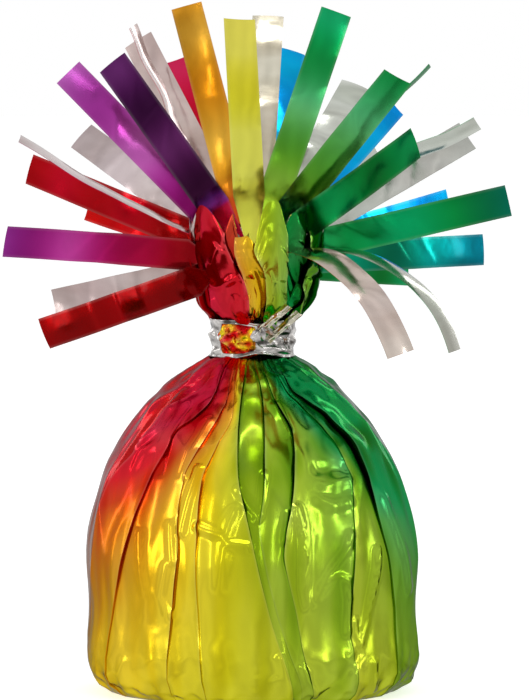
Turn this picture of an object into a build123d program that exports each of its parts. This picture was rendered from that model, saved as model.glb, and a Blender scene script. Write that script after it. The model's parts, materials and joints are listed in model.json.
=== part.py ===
"""Foil balloon weight: a plaster slug wrapped in a sheet of metallised film.

The sheet is gathered at a neck, bound with a twist tie, and slit into fringe strips
that fan out above it. Millimetres, +Z up, the front faces -Y, origin under the base.
"""

import os
from math import cos, pi, radians, sin, sqrt
from typing import NamedTuple

from build123d import *

# Weight slug
CORE_RADIUS = 31.2
CORE_SIDE = 27.5
CORE_FOOT_ROUND = 6.0
CORE_CLEARANCE = 0.25

# Foil wrap. The film is drawn many times thicker than it is, so that it is a solid.
FLOOR_THICKNESS = 0.5
FILM_SLACK = 2.2
SHOULDER_RISE = 8.6
SHOULDER_START = 0.385
PLEATS = 18
PLEAT_UNEVENNESS = 0.28
PLEAT_CREST = 0.4

# Neck and tie
NECK_RADIUS = 7.0
NECK_PLEAT = 0.5
TIE_WIDTH = 7.6
TIE_WIRE_DIAMETER = 0.45
TIE_FILM = 0.4
TIE_CLEARANCE = 0.1
TIE_NOTCH_WIDTH = 7.0
TIE_NOTCH_DEPTH = 2.2
TWIST_X = 1.2
TWIST_SIZE = (2.8, 1.3)
TWIST_LENGTH = 3.4
TWIST_TURN = 150
TWIST_STANDOFF = 0.75
TIE_END_WIDTH = 2.2
TIE_END_THICKNESS = 0.45
TIE_END_GAP = 0.35
TIE_END_SPREAD = 1.2
TIE_END_UPPER = 6.4
TIE_END_LOWER = 7.2

# Head of the plume: the strips' roots lie on a ball round the fan centre
FLARE_RISE = 11.6
HEAD_RADIUS = 13.6
ROOT_CLEARANCE = 0.25

# Fringe strips, a quarter of an inch wide
STRIP_WIDTH = 6.35
STRIP_LENGTH = 39.0
STRIP_THICKNESS = 0.3
ROOT_RADIUS = HEAD_RADIUS + ROOT_CLEARANCE + STRIP_THICKNESS / 2

# Levels and radii that follow from the sizes above
SLUG_SHOULDER = FLOOR_THICKNESS + CORE_SIDE
SLUG_TOP = SLUG_SHOULDER + CORE_RADIUS
TIE_BOTTOM = SLUG_TOP + SHOULDER_RISE
TIE_TOP = TIE_BOTTOM + TIE_WIDTH
TIE_MIDDLE = TIE_BOTTOM + TIE_WIDTH / 2
NECK_CREST = NECK_RADIUS + PLEAT_CREST * NECK_PLEAT
WIRE_RADIUS = NECK_CREST + TIE_CLEARANCE + TIE_WIRE_DIAMETER / 2
BAND_INNER = WIRE_RADIUS + TIE_WIRE_DIAMETER / 2 + TIE_CLEARANCE
BAND_OUTER = BAND_INNER + TIE_FILM
FAN_CENTRE_Z = TIE_TOP + FLARE_RISE


class Section(NamedTuple):
    """One level of the wrap: its height, mean radius and how deep its pleats are."""

    height: float
    radius: float
    pleat: float


def round_foot(share, pleat):
    """A level on the slug's rounded foot, by its share of the rounding's height."""
    out = CORE_FOOT_ROUND * sqrt(1 - (1 - share) ** 2)
    radius = CORE_RADIUS - CORE_FOOT_ROUND + out + FILM_SLACK
    return Section(FLOOR_THICKNESS + share * CORE_FOOT_ROUND, radius, pleat)


def round_side(share, pleat):
    """A level on the slug's straight side, by its share of the side's height."""
    return Section(FLOOR_THICKNESS + share * CORE_SIDE, CORE_RADIUS + FILM_SLACK, pleat)


def round_dome(share, pleat):
    """A level on the slug's domed top, by its share of the dome's height."""
    radius = CORE_RADIUS * sqrt(1 - share**2) + FILM_SLACK
    return Section(SLUG_SHOULDER + share * CORE_RADIUS, radius, pleat)


def on_shoulder(share, pleat):
    """A level where the film leaves the dome and slopes in to the neck."""
    foot = round_dome(SHOULDER_START, pleat)
    height = foot.height + share * (TIE_BOTTOM - foot.height)
    slope = (1 - share**1.4) ** 0.75
    return Section(height, NECK_RADIUS + (foot.radius - NECK_RADIUS) * slope, pleat)


def on_head(latitude, pleat):
    """A level of the ball shaped head above the tie."""
    angle = radians(latitude)
    return Section(FAN_CENTRE_Z + HEAD_RADIUS * sin(angle), HEAD_RADIUS * cos(angle), pleat)


SKIRT = [
    Section(0.0, CORE_RADIUS - CORE_FOOT_ROUND + FILM_SLACK, 0.0),
    round_foot(0.2, 0.1),
    round_foot(0.75, 0.3),
    round_side(0.42, 0.5),
    round_side(0.8, 0.6),
    round_dome(0.13, 0.8),
    round_dome(SHOULDER_START, 1.0),
    on_shoulder(0.25, 1.3),
    on_shoulder(0.47, 1.5),
    on_shoulder(0.65, 1.5),
    on_shoulder(0.81, 1.3),
    on_shoulder(0.935, 0.9),
    on_shoulder(1.0, NECK_PLEAT),
]
NECK = [SKIRT[-1], Section(TIE_TOP, NECK_RADIUS, NECK_PLEAT)]
FLARE = [
    NECK[-1],
    Section(TIE_TOP + 0.08 * FLARE_RISE, NECK_RADIUS * 1.17, 0.6),
    on_head(-40, 0.6),
    on_head(-26, 0.5),
    on_head(-9, 0.3),
    on_head(9, 0.1),
    on_head(26, 0.0),
    on_head(44, 0.0),
    on_head(66, 0.0),
]


class Strip(NamedTuple):
    """One fringe strip, in degrees.

    heading: way it points as seen from the front, 0 right, 90 up, 180 left
    lean: how far it points forward of that, towards the front
    roll: turn about its own length, 0 with its face to the front
    curl: bend over its whole length, towards its face
    """

    heading: float
    lean: float
    roll: float
    curl: float


FRINGE = {
    "front": [
        Strip(198, 31, 8, 12),
        Strip(174, 18, -6, 8),
        Strip(124.5, 19, 0, 8),
        Strip(93, 19, 0, 8),
        Strip(53, 22, 4, 12),
        Strip(37, 35, -10, 12),
        Strip(17, 54, 90, 88),
        Strip(10, 24, 90, 84),
    ],
    "middle": [
        Strip(155, 3, 84, 8),
        Strip(134.5, 0, 0, -4),
        Strip(119.5, 2, 86, 6),
        Strip(104.5, 0, 0, 4),
        Strip(71.5, 2, 0, 6),
        Strip(50, 2, 88, 6),
        Strip(34, 0, 62, 8),
        Strip(13.5, 3, 0, 6),
    ],
    "back": [
        Strip(195, -34, 0, -8),
        Strip(159, -20, 0, -8),
        Strip(146, -33, 0, -10),
        Strip(118, -17, 0, -8),
        Strip(112.5, -33, 0, -10),
        Strip(101.5, -17, 86, -4),
        Strip(86.3, -18, 0, -12),
        Strip(79.5, -33, 0, -12),
        Strip(58.2, -17, 0, -54),
        Strip(46.5, -33, 0, -12),
        Strip(29.2, -17, 0, -6),
        Strip(13.5, -34, 0, -12),
        Strip(1, -24, 0, -8),
    ],
    "rear": [
        Strip(165, -46, 0, -6),
        Strip(127.5, -50, 0, -18),
        Strip(85.5, -51, 0, -20),
        Strip(38, -49, 0, -8),
        Strip(-8, -50, 0, -6),
        Strip(166, -69, 0, -26),
        Strip(92, -70, 0, -26),
        Strip(18, -69, 0, -26),
    ],
}


def strip_plane(strip):
    """Plane with its origin at the strip's root, X along it, Y out of its face."""
    heading, lean = radians(strip.heading), radians(strip.lean)
    along = Vector(cos(heading) * cos(lean), -sin(lean), sin(heading) * cos(lean))
    across = Vector(-sin(heading), 0, cos(heading)).rotate(Axis((0, 0, 0), along), strip.roll)
    root = Vector(0, 0, FAN_CENTRE_Z) + along * ROOT_RADIUS
    return Plane(origin=root, x_dir=along, z_dir=-across)


def pleat_angles():
    """Angles of the pleats' valleys round the wrap; no two pleats are alike."""
    return [(i + PLEAT_UNEVENNESS * sin(2.4 * i)) * 2 * pi / PLEATS for i in range(PLEATS)]


def wrap_section(section):
    """Closed outline of one level: an arc for each pleat, meeting in the valleys."""
    valleys = pleat_angles()
    outline = []
    for start, end in zip(valleys, valleys[1:] + [valleys[0] + 2 * pi]):
        ends = [
            ((section.radius - section.pleat) * cos(a), (section.radius - section.pleat) * sin(a))
            for a in (start, end)
        ]
        middle = (start + end) / 2
        crest = section.radius + section.pleat * PLEAT_CREST
        outline.append(ThreePointArc(ends[0], (crest * cos(middle), crest * sin(middle)), ends[1]))
    return Pos(0, 0, section.height) * make_face(outline)


def core_profile(gap):
    """Half section of the slug, larger by the gap at its side and top."""
    radius, foot = CORE_RADIUS + gap, CORE_FOOT_ROUND
    outline = [
        Line((0, FLOOR_THICKNESS), (radius - foot, FLOOR_THICKNESS)),
        JernArc((radius - foot, FLOOR_THICKNESS), (1, 0), foot, 90),
        Line((radius, FLOOR_THICKNESS + foot), (radius, SLUG_SHOULDER)),
        CenterArc((0, SLUG_SHOULDER), radius, 0, 90),
        Line((0, SLUG_SHOULDER + radius), (0, FLOOR_THICKNESS)),
    ]
    return Plane.XZ * make_face(outline)


def make_core():
    """Plaster slug, cast in a cup with a rounded bottom and a domed top."""
    return revolve(core_profile(0), Axis.Z)


def make_skirt():
    """Sheet below the tie: pleated over the slug and drawn in to the neck."""
    skirt = loft([wrap_section(section) for section in SKIRT])
    return skirt - revolve(core_profile(CORE_CLEARANCE), Axis.Z)


def make_head():
    """The same sheet from the tie up: gathered neck and flared head."""
    neck = loft([wrap_section(section) for section in NECK])
    return neck + loft([wrap_section(section) for section in FLARE])


def twist_line():
    """Start and direction of the twist, just in front of the band."""
    root = Vector(TWIST_X, -sqrt(BAND_OUTER**2 - TWIST_X**2) - TWIST_STANDOFF, TIE_MIDDLE)
    return root, Vector(0.5, -0.75, 0.45).normalized()


def make_tie():
    """Pieces of the twist tie by node name."""
    wire_path = CenterArc((0, 0, TIE_MIDDLE), WIRE_RADIUS, -60, 330)
    wire_section = Plane(wire_path @ 0, z_dir=wire_path % 0) * Circle(TIE_WIRE_DIAMETER / 2)
    wire = sweep(wire_section, path=wire_path)

    band = extrude(Pos(0, 0, TIE_BOTTOM) * (Circle(BAND_OUTER) - Circle(BAND_INNER)), TIE_WIDTH)
    notch = make_face(Polyline(
        (-TIE_NOTCH_WIDTH / 2, TIE_WIDTH / 2 + 1), (TIE_NOTCH_WIDTH / 2, TIE_WIDTH / 2 + 1),
        (TIE_NOTCH_WIDTH / 2, TIE_WIDTH / 2), (0, TIE_WIDTH / 2 - TIE_NOTCH_DEPTH),
        (-TIE_NOTCH_WIDTH / 2, TIE_WIDTH / 2), close=True))
    for turn in (0, 180):
        front = Plane((TWIST_X, 0, TIE_MIDDLE), x_dir=(1, 0, 0), z_dir=(0, -1, 0))
        band -= extrude(front * Rot(0, 0, turn) * notch, BAND_OUTER + 1)

    twist_root, twist_way = twist_line()
    twist_plane = Plane(twist_root, x_dir=(0.45, 0, -0.5), z_dir=twist_way)
    twist = Solid.extrude_linear_with_rotation(
        (twist_plane * Rectangle(*TWIST_SIZE)).face(), twist_root, twist_way * TWIST_LENGTH, TWIST_TURN)

    pieces = {"tie_wire": wire, "tie_band": band, "tie_twist": twist}
    for name, plane, length in tie_end_planes(*twist_line()):
        pieces[name] = tie_end(plane, length)
    return pieces


def tie_end_planes(twist_root, twist_way):
    """Place and length of the two free ends: X along the end, Z along its hinge."""
    start = twist_root + twist_way * (TWIST_LENGTH + TIE_END_GAP + TIE_END_THICKNESS / 2)
    side = Vector(0.6, 0, -0.66).normalized()
    upper = Vector(0.62, -0.2, 0.76).normalized()
    lower = Vector(0.78, -0.25, 0.52).normalized()
    return [
        ("tie_end_upper", Plane(start - side * TIE_END_SPREAD, x_dir=upper, z_dir=side), TIE_END_UPPER),
        ("tie_end_lower", Plane(start + side * TIE_END_SPREAD, x_dir=lower, z_dir=side), TIE_END_LOWER),
    ]


def tie_end(plane, length):
    """Flat free end of the tie, round at the fold where it bends."""
    profile = plane * SlotArc(Line((0, 0), (length, 0)), TIE_END_THICKNESS)
    return extrude(profile, TIE_END_WIDTH / 2, both=True)


def make_strip(strip):
    """Curled strip of film, round along its root where it bends."""
    length_arc = JernArc((0, 0), (1, 0), STRIP_LENGTH / abs(radians(strip.curl)), strip.curl)
    profile = strip_plane(strip) * SlotArc(length_arc, STRIP_THICKNESS)
    return extrude(profile, STRIP_WIDTH / 2, both=True)


def main():
    pieces = {"weight_core": make_core(), "foil_skirt": make_skirt(), "foil_head": make_head()}
    pieces.update(make_tie())
    for row, strips in FRINGE.items():
        for number, strip in enumerate(strips, 1):
            pieces[f"fringe_{row}_{number}"] = make_strip(strip)
    os.makedirs("parts", exist_ok=True)
    for name, piece in pieces.items():
        export_step(piece, f"parts/{name}.step")


if __name__ == "__main__":
    main()
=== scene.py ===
# %% [markdown]
# A foil balloon weight stands about 14 cm high. One square of metallised film, printed in rainbow
# colours, is drawn up round a plaster slug. It is gathered at a neck and bound with a twist tie, and
# its edges are slit into strips that fan out on top. Every piece here starts as what it really is, a
# flat sheet, and each point of the sheet is then carried to its place in the folded object.

# %% Load the frame
import json
import math
from typing import NamedTuple

import bpy
import numpy as np
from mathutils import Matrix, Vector, noise


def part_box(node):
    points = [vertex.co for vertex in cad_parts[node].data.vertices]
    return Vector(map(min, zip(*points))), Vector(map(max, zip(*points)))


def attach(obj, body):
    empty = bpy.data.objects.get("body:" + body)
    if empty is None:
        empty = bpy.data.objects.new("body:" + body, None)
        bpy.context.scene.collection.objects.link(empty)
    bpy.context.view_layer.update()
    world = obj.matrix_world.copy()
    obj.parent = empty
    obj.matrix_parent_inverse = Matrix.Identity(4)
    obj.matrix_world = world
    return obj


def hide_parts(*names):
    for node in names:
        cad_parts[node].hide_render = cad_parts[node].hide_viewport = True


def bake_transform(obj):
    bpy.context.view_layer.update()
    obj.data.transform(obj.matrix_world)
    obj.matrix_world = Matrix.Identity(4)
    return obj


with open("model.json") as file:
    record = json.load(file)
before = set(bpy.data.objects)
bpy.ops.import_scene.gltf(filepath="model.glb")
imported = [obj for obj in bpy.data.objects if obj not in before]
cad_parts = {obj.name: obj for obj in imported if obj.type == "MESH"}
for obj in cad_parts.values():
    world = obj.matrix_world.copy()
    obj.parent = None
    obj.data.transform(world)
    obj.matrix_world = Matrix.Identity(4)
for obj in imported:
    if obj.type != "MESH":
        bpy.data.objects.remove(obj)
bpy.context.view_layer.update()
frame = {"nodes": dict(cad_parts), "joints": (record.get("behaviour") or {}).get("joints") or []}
MM = 0.001

# %% [markdown]
# The camera comes first, because the folds in front are placed by what it sees. The photograph is
# taken with a long lens from a little above the table, so the width hardly changes with depth. The
# view is 141 mm high and the picture is 529 by 700 pixels.

# %% Camera
VIEW_HEIGHT = 141.2 * MM
VIEW_CENTRE = Vector((2.4, 0.0, 68.9)) * MM
CAMERA_DISTANCE = 1.5
CAMERA_ELEVATION = math.radians(4.0)
SENSOR_HEIGHT = 24.0
CLIP_START = 0.05

bpy.ops.object.select_all(action="DESELECT")
towards_camera = Vector((0.0, -math.cos(CAMERA_ELEVATION), math.sin(CAMERA_ELEVATION)))
bpy.ops.object.camera_add(location=VIEW_CENTRE + towards_camera * CAMERA_DISTANCE)
camera = bpy.context.object
camera.name = "camera_front"
camera.rotation_euler = towards_camera.to_track_quat("Z", "Y").to_euler()
camera.data.sensor_fit = "VERTICAL"
camera.data.sensor_height = SENSOR_HEIGHT
camera.data.lens = SENSOR_HEIGHT * CAMERA_DISTANCE / VIEW_HEIGHT
camera.data.clip_start = CLIP_START
bpy.context.scene.camera = camera
print("camera lens in mm:", round(camera.data.lens, 1))

# %% [markdown]
# Four small helpers serve every material. One turns a hex colour, as a picture program shows it,
# into the linear numbers that Blender calculates with. One starts a material with its shader. One
# adds a node with its settings and its links, so that a material reads as a list of nodes, and one
# joins two sockets.

# %% Material helpers
def colour(hex_code):
    """Linear colour of an sRGB hex code."""
    parts = [int(hex_code[i:i + 2], 16) / 255 for i in (1, 3, 5)]
    return [c / 12.92 if c <= 0.04045 else ((c + 0.055) / 1.055) ** 2.4 for c in parts] + [1.0]


def start_material(name, settings):
    """New material and its Principled shader, with its uniform values set."""
    made = bpy.data.materials.new(name)
    made.use_nodes = True
    shader = made.node_tree.nodes["Principled BSDF"]
    for key, value in settings.items():
        shader.inputs[key].default_value = value
    return made, shader


def add_node(material, kind, links=None, **settings):
    """Adds one node: settings by property name, links as {input: socket or value}, stops of a ramp."""
    node = material.node_tree.nodes.new(kind)
    for number, (position, tint) in enumerate(settings.pop("stops", [])):
        elements = node.color_ramp.elements
        stop = elements[number] if number < len(elements) else elements.new(position)
        stop.position, stop.color = position, tint
    for key, value in settings.items():
        setattr(node, key, value)
    for key, value in (links or {}).items():
        if isinstance(value, bpy.types.NodeSocket):
            material.node_tree.links.new(value, node.inputs[key])
        else:
            node.inputs[key].default_value = value
    return node


def link(material, source, target):
    material.node_tree.links.new(source, target)


print("the hex grey #808080 is", round(colour("#808080")[0], 3), "in linear numbers")


# %% [markdown]
# The film is polyester a few hundredths of a millimetre thick, with aluminium vapour on its back and
# clear coloured ink on its face. The aluminium makes it a mirror, the ink tints the mirror, and the
# clear polyester on top adds a thin white gloss. The ink runs in a rainbow across the flat sheet,
# so its colour is read from where a point was on the flat sheet, which the UV map keeps.
# Worn edges let a little of the bare metal show, which the wear attribute holds. A second attribute
# deepens the colour by a power of it, as two panes of stained glass are: partly ink that is uneven at
# random, partly painted shade and painted reflection, and where it is below zero painted light.
# Dents and creases too fine for the mesh are a bump in the material.

# %% Printed film
SHEET_SIDE = 460.0
# The two darkest violet stops are painted shade, for a strip that mirrors dark film.
RAINBOW = [
    (-228, "#2a0c2c"), (-210, "#4c1444"), (-190, "#66247a"), (-172, "#8a3092"), (-152, "#b42382"),
    (-128, "#c8164e"), (-104, "#cc1c30"), (-84, "#da222c"), (-70, "#d14420"), (-60, "#d87222"),
    (-48, "#e09c2a"), (-36, "#e8be2c"), (-22, "#eed22e"), (-8, "#d8d128"), (6, "#b6c22e"),
    (28, "#9aba34"), (48, "#76ac38"), (64, "#40a862"), (78, "#0ca45c"), (100, "#008c4a"),
    (126, "#00984f"), (150, "#007c66"), (170, "#0096c0"), (190, "#00a8ee"), (215, "#0a62b4"),
]
DENT_SIZE, DENT_DEPTH = 5.0 * MM, 0.5 * MM
CREASE_SIZE, CREASE_DEPTH = 3.0 * MM, 0.2 * MM


def finish_mirror(material, shader, tint, relief, smooth, scuffed):
    """Metal of a tint, with fine dents and creases; its roughness runs from smooth to scuffed."""
    place = add_node(material, "ShaderNodeTexCoord").outputs["Object"]
    dents = add_node(material, "ShaderNodeTexNoise", {
        "Vector": place, "Scale": 1 / DENT_SIZE, "Detail": 2.0}).outputs["Fac"]
    creases = add_node(material, "ShaderNodeTexVoronoi", {
        "Vector": place, "Scale": 1 / CREASE_SIZE}, feature="SMOOTH_F1").outputs["Distance"]
    dented = add_node(material, "ShaderNodeBump", {
        "Height": dents, "Strength": relief, "Distance": DENT_DEPTH}).outputs["Normal"]
    normal = add_node(material, "ShaderNodeBump", {
        "Height": creases, "Strength": relief / 2, "Distance": CREASE_DEPTH, "Normal": dented,
    }).outputs["Normal"]
    gloss = add_node(material, "ShaderNodeMapRange", {
        "Value": dents, "From Min": 0.3, "From Max": 0.7, "To Min": smooth, "To Max": scuffed,
    }).outputs["Result"]
    for name, source in {"Base Color": tint, "Roughness": gloss, "Normal": normal}.items():
        link(material, source, shader.inputs[name])


def rainbow_ink(material):
    """Colour of the ink by its place on the flat sheet, deepened by uneven ink and by painted shade."""
    flat = add_node(material, "ShaderNodeUVMap", uv_map="flat").outputs["UV"]
    across = add_node(material, "ShaderNodeSeparateXYZ", {"Vector": flat}).outputs["X"]
    stops = [(place / SHEET_SIDE + 0.5, colour(ink)) for place, ink in RAINBOW]
    ramp = add_node(material, "ShaderNodeValToRGB", {"Fac": across}, stops=stops)
    # This attribute holds uneven ink, painted shade and, below zero, painted light.
    depth = add_node(material, "ShaderNodeAttribute", attribute_name="ink_and_painted_shade").outputs["Fac"]
    layers = add_node(material, "ShaderNodeMath", {0: depth, 1: 1.0}, operation="ADD")
    return add_node(material, "ShaderNodeGamma", {
        "Color": ramp.outputs["Color"], "Gamma": layers.outputs[0]}).outputs["Color"]


def make_printed_film():
    made, shader = start_material("printed_metallised_polyester", {
        "Metallic": 1.0, "Specular Tint": (0.35, 0.35, 0.35, 1.0),
        "Coat Weight": 0.1, "Coat Roughness": 0.08})
    wear = add_node(made, "ShaderNodeAttribute", attribute_name="wear").outputs["Fac"]
    bare = add_node(made, "ShaderNodeMix", {
        "Factor": wear, "A": rainbow_ink(made), "B": colour("#e6e2da")}, data_type="RGBA")
    finish_mirror(made, shader, bare.outputs["Result"], relief=0.15, smooth=0.15, scuffed=0.24)
    return made


printed_film = make_printed_film()
print("printed film:", len(printed_film.node_tree.nodes), "nodes")

# %% [markdown]
# The back of the film, and the twist tie, show the bare aluminium: the same mirror without the ink,
# a touch warm, and a little more scuffed because nothing covers it. Its colour runs in streaks from dark
# to light, which is painted reflection of the crumples: strong in the tie, mild on the back of the film,
# where it is partly uneven metal too. The strips' thin aluminium lets a little of the ink on the other
# side through. The wire in the tie is drawn steel, and the slug is cast plaster; both lie hidden and keep
# their CAD shape.

# %% Silver film, steel and plaster
def make_silver_film(name, relief, streak_size, dark_streak, bright, show_through):
    made, shader = start_material(name, {"Metallic": 1.0})
    place = add_node(made, "ShaderNodeTexCoord").outputs["Object"]
    level_streaks = add_node(made, "ShaderNodeMapping", {"Vector": place, "Scale": (0.4, 0.4, 1.0)})
    streaks = add_node(made, "ShaderNodeTexNoise", {
        "Vector": level_streaks.outputs["Vector"], "Scale": 1 / (streak_size * MM), "Detail": 3.0})
    spread = add_node(made, "ShaderNodeMapRange", {
        "Value": streaks.outputs["Fac"], "From Min": 0.35, "From Max": 0.65})
    # Streaks of dark and light tone: painted reflections of the crumples, on the film's back partly uneven
    # metal.
    tone = add_node(made, "ShaderNodeMix", {
        "Factor": spread.outputs["Result"], "A": colour(dark_streak), "B": colour(bright)}, data_type="RGBA")
    seen_through = add_node(made, "ShaderNodeMix", {
        "Factor": show_through, "A": tone.outputs["Result"], "B": rainbow_ink(made)}, data_type="RGBA")
    finish_mirror(made, shader, seen_through.outputs["Result"], relief, smooth=0.1, scuffed=0.24)
    return made


# The tie's dark streaks are painted reflection; the back's mild ones are partly painted reflection.
silver_film = make_silver_film("aluminium_film_back", 0.2, 9.0, "#b8b0aa", "#dcd8d4", 0.16)
tie_film = make_silver_film("crumpled_tie_film", 0.3, 1.4, "#4a4642", "#dedad6", 0.0)


def make_steel():
    made, shader = start_material("drawn_steel_wire", {"Base Color": colour("#8d8e90"), "Metallic": 1.0})
    place = add_node(made, "ShaderNodeTexCoord").outputs["Object"]
    drawn = add_node(made, "ShaderNodeTexNoise", {"Vector": place, "Scale": 1 / (0.6 * MM)})
    gloss = add_node(made, "ShaderNodeMapRange", {
        "Value": drawn.outputs["Fac"], "To Min": 0.25, "To Max": 0.45})
    link(made, gloss.outputs["Result"], shader.inputs["Roughness"])
    return made


def make_plaster():
    made, shader = start_material("cast_plaster", {"Roughness": 0.9})
    place = add_node(made, "ShaderNodeTexCoord").outputs["Object"]
    grit = add_node(made, "ShaderNodeTexNoise", {"Vector": place, "Scale": 1 / (0.8 * MM), "Detail": 6.0})
    tone = add_node(made, "ShaderNodeMix", {
        "Factor": grit.outputs["Fac"], "A": colour("#d9d5cc"), "B": colour("#f2efe8")}, data_type="RGBA")
    pits = add_node(made, "ShaderNodeBump", {
        "Height": grit.outputs["Fac"], "Strength": 0.4, "Distance": 0.2 * MM})
    link(made, tone.outputs["Result"], shader.inputs["Base Color"])
    link(made, pits.outputs["Normal"], shader.inputs["Normal"])
    return made


for node, finish in {"tie_wire": make_steel(), "weight_core": make_plaster()}.items():
    frame["nodes"][node].data.materials.clear()
    frame["nodes"][node].data.materials.append(finish)
print("hidden pieces finished: tie wire and weight core")

# %% [markdown]
# A sheet is a grid: one add operator makes it, and its points know their own column and row from
# where they lie on the flat grid. Carrying the points to their folded place, merging the seam,
# turning the faces outwards and giving the film a thickness are then the same few steps for every piece.

# %% Sheet helpers
SEAM_GAP = 0.002 * MM


def mesh_points(mesh):
    """Places of the points of a mesh, one row each."""
    points = np.empty(len(mesh.vertices) * 3)
    mesh.vertices.foreach_get("co", points)
    return points.reshape(-1, 3)


def mesh_corners(mesh):
    """Number of the point at each corner of each face."""
    corners = np.empty(len(mesh.loops), int)
    mesh.loops.foreach_get("vertex_index", corners)
    return corners


def add_sheet(name, columns, rows):
    """Flat grid of film; returns it with the column and row number of each point."""
    bpy.ops.object.select_all(action="DESELECT")
    bpy.ops.mesh.primitive_grid_add(x_subdivisions=columns, y_subdivisions=rows, size=2.0)
    sheet = bpy.context.object
    sheet.name = sheet.data.name = name
    flat = mesh_points(sheet.data)
    column = np.rint((flat[:, 0] + 1) / 2 * columns).astype(int)
    row = np.rint((flat[:, 1] + 1) / 2 * rows).astype(int)
    return sheet, column, row


def shape_sheet(sheet, points, flat_x, flat_y, wear, ink_and_painted_shade=None):
    """Carries the points, in mm, to their place and keeps their place on the flat sheet as UV."""
    mesh = sheet.data
    mesh.vertices.foreach_set("co", (np.asarray(points) * MM).ravel())
    uv = np.column_stack([flat_x, flat_y])[mesh_corners(mesh)] / SHEET_SIDE + 0.5
    mesh.uv_layers[0].name = "flat"
    mesh.uv_layers[0].data.foreach_set("uv", uv.ravel())
    depth = np.zeros(len(wear)) if ink_and_painted_shade is None else ink_and_painted_shade
    for name, values in {"wear": wear, "ink_and_painted_shade": depth}.items():
        mesh.attributes.new(name, "FLOAT", "POINT").data.foreach_set("value", np.asarray(values, float))
    mesh.update()


def close_sheet(sheet, angle):
    """Merges the seam and the poles, turns the faces outwards and smooths all but the creases."""
    bpy.ops.object.select_all(action="DESELECT")
    bpy.context.view_layer.objects.active = sheet
    sheet.select_set(True)
    bpy.ops.object.mode_set(mode="EDIT")
    bpy.ops.mesh.select_all(action="SELECT")
    bpy.ops.mesh.remove_doubles(threshold=SEAM_GAP)
    bpy.ops.mesh.normals_make_consistent(inside=False)
    bpy.ops.object.mode_set(mode="OBJECT")
    bpy.ops.object.shade_smooth_by_angle(angle=math.radians(angle))


def thicken(sheet, thickness, material_step=0):
    """Gives the film a thickness in mm; its back's material is so many steps after its front's."""
    wall = sheet.modifiers.new("thickness", "SOLIDIFY")
    wall.thickness = thickness * MM
    wall.offset = 0
    wall.material_offset = material_step
    bpy.ops.object.modifier_apply(modifier=wall.name)


print("points closer than", round(SEAM_GAP / MM, 4), "mm are merged at a seam")


# %% [markdown]
# Where the film lies is read from the CAD solids: at each level the radius of their crests, smoothed.
# Film crumples in two ways, soft waves and dished facets with sharp ridges, and both come from noise
# that depends on the place alone, so that they are the same each time.

# %% Measuring and crumpling
CREST_SHARE = 85
LEVEL_STEP = 0.5
LEVEL_REACH = 0.7
SMOOTHING = np.hanning(23)[1:-1] / np.hanning(23).sum()
MEAN_FACET = 0.3


def outer_radius(node, heights):
    """Radius of a CAD solid of revolution at each height, in mm, from its own points."""
    points = mesh_points(frame["nodes"][node].data) / MM
    radius = np.hypot(points[:, 0], points[:, 1])
    found = []
    for height in np.arange(heights[0], heights[-1] + LEVEL_STEP, LEVEL_STEP):
        near = np.abs(points[:, 2] - height) < LEVEL_REACH
        if near.any():
            found.append((height, np.percentile(radius[near], CREST_SHARE)))
    found = np.interp(heights, *zip(*found))
    half = len(SMOOTHING) // 2
    before, after = 2 * found[0] - found[half:0:-1], 2 * found[-1] - found[-2:-2 - half:-1]
    return np.convolve(np.concatenate([before, found, after]), SMOOTHING, "valid")


def round_places(radius, turn, height):
    """Places at a radius and a turn in radians round the middle, where 0 is the front and plus is right."""
    return np.column_stack([radius * np.sin(turn), -radius * np.cos(turn), height])


def soft_noise(points, size):
    return np.array([noise.noise(Vector(point) / size) for point in points])


def facets(points, size):
    """Crumple: dished facets that meet in sharp ridges, from -0.3 in a dish to about 0.7 on a ridge."""
    return np.array([noise.voronoi(Vector(point) / size)[0][0] ** 2 for point in points]) - MEAN_FACET


print("crests of the skirt at 20 mm:", outer_radius("foil_skirt", np.linspace(10, 30, 41))[20].round(1), "mm")

# %% [markdown]
# The skirt runs from the middle of the foot, up over the slug, and in to the neck. Its half outline,
# a radius for each height, is read from the CAD solid, so the film lies where the solid is.

# %% Outline of the skirt
TIE_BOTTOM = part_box("tie_band")[0][2] / MM
TIE_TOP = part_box("tie_band")[1][2] / MM
SKIRT_TOP = TIE_BOTTOM + 2.5
FOOT_RINGS = 14
SIDE_RINGS = 185

side_heights = np.linspace(0.4, TIE_BOTTOM, SIDE_RINGS)
side_radius = outer_radius("foil_skirt", side_heights)
side_radius += np.interp(side_heights, [TIE_BOTTOM - 5, TIE_BOTTOM - 0.5], [0, 0.7])
foot_radius = side_radius[0] - 1.0
skirt_radius = np.concatenate([np.linspace(0, foot_radius, FOOT_RINGS), side_radius, [6.9, 6.5, 4.0, 0.0]])
skirt_height = np.concatenate([np.zeros(FOOT_RINGS), side_heights, [TIE_BOTTOM + 1] + [SKIRT_TOP] * 3])
print("skirt outline: foot", round(foot_radius, 1), "widest", round(side_radius.max(), 1), "mm")

# %% [markdown]
# A fold of gathered film is a knife pleat: one panel lies over the next, so there is a sharp raised
# edge, a dark slot beside it and a flat panel after that. The folds run from the neck to the foot.
# The front ones are lines of places as the photograph shows them, in mm to the right of the middle and
# up from the table; the outline turns each place into an angle round the weight, where 0 is the front
# and plus is right. Those behind, which no picture shows, are spread with a little unevenness.

# %% Folds of the skirt
MOST_ASIDE = 0.995


class Fold(NamedTuple):
    """One pleat: path of (height mm, angle degrees, lift of its edge mm); upper side, -1 or 1."""

    path: list
    upper: int


def seen_angle(across, height, heights, radius):
    """Angle round the weight, in degrees, of a place seen from the front."""
    aside = across / np.interp(height, heights, radius)
    return math.degrees(math.asin(np.clip(aside, -MOST_ASIDE, MOST_ASIDE)))


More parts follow.
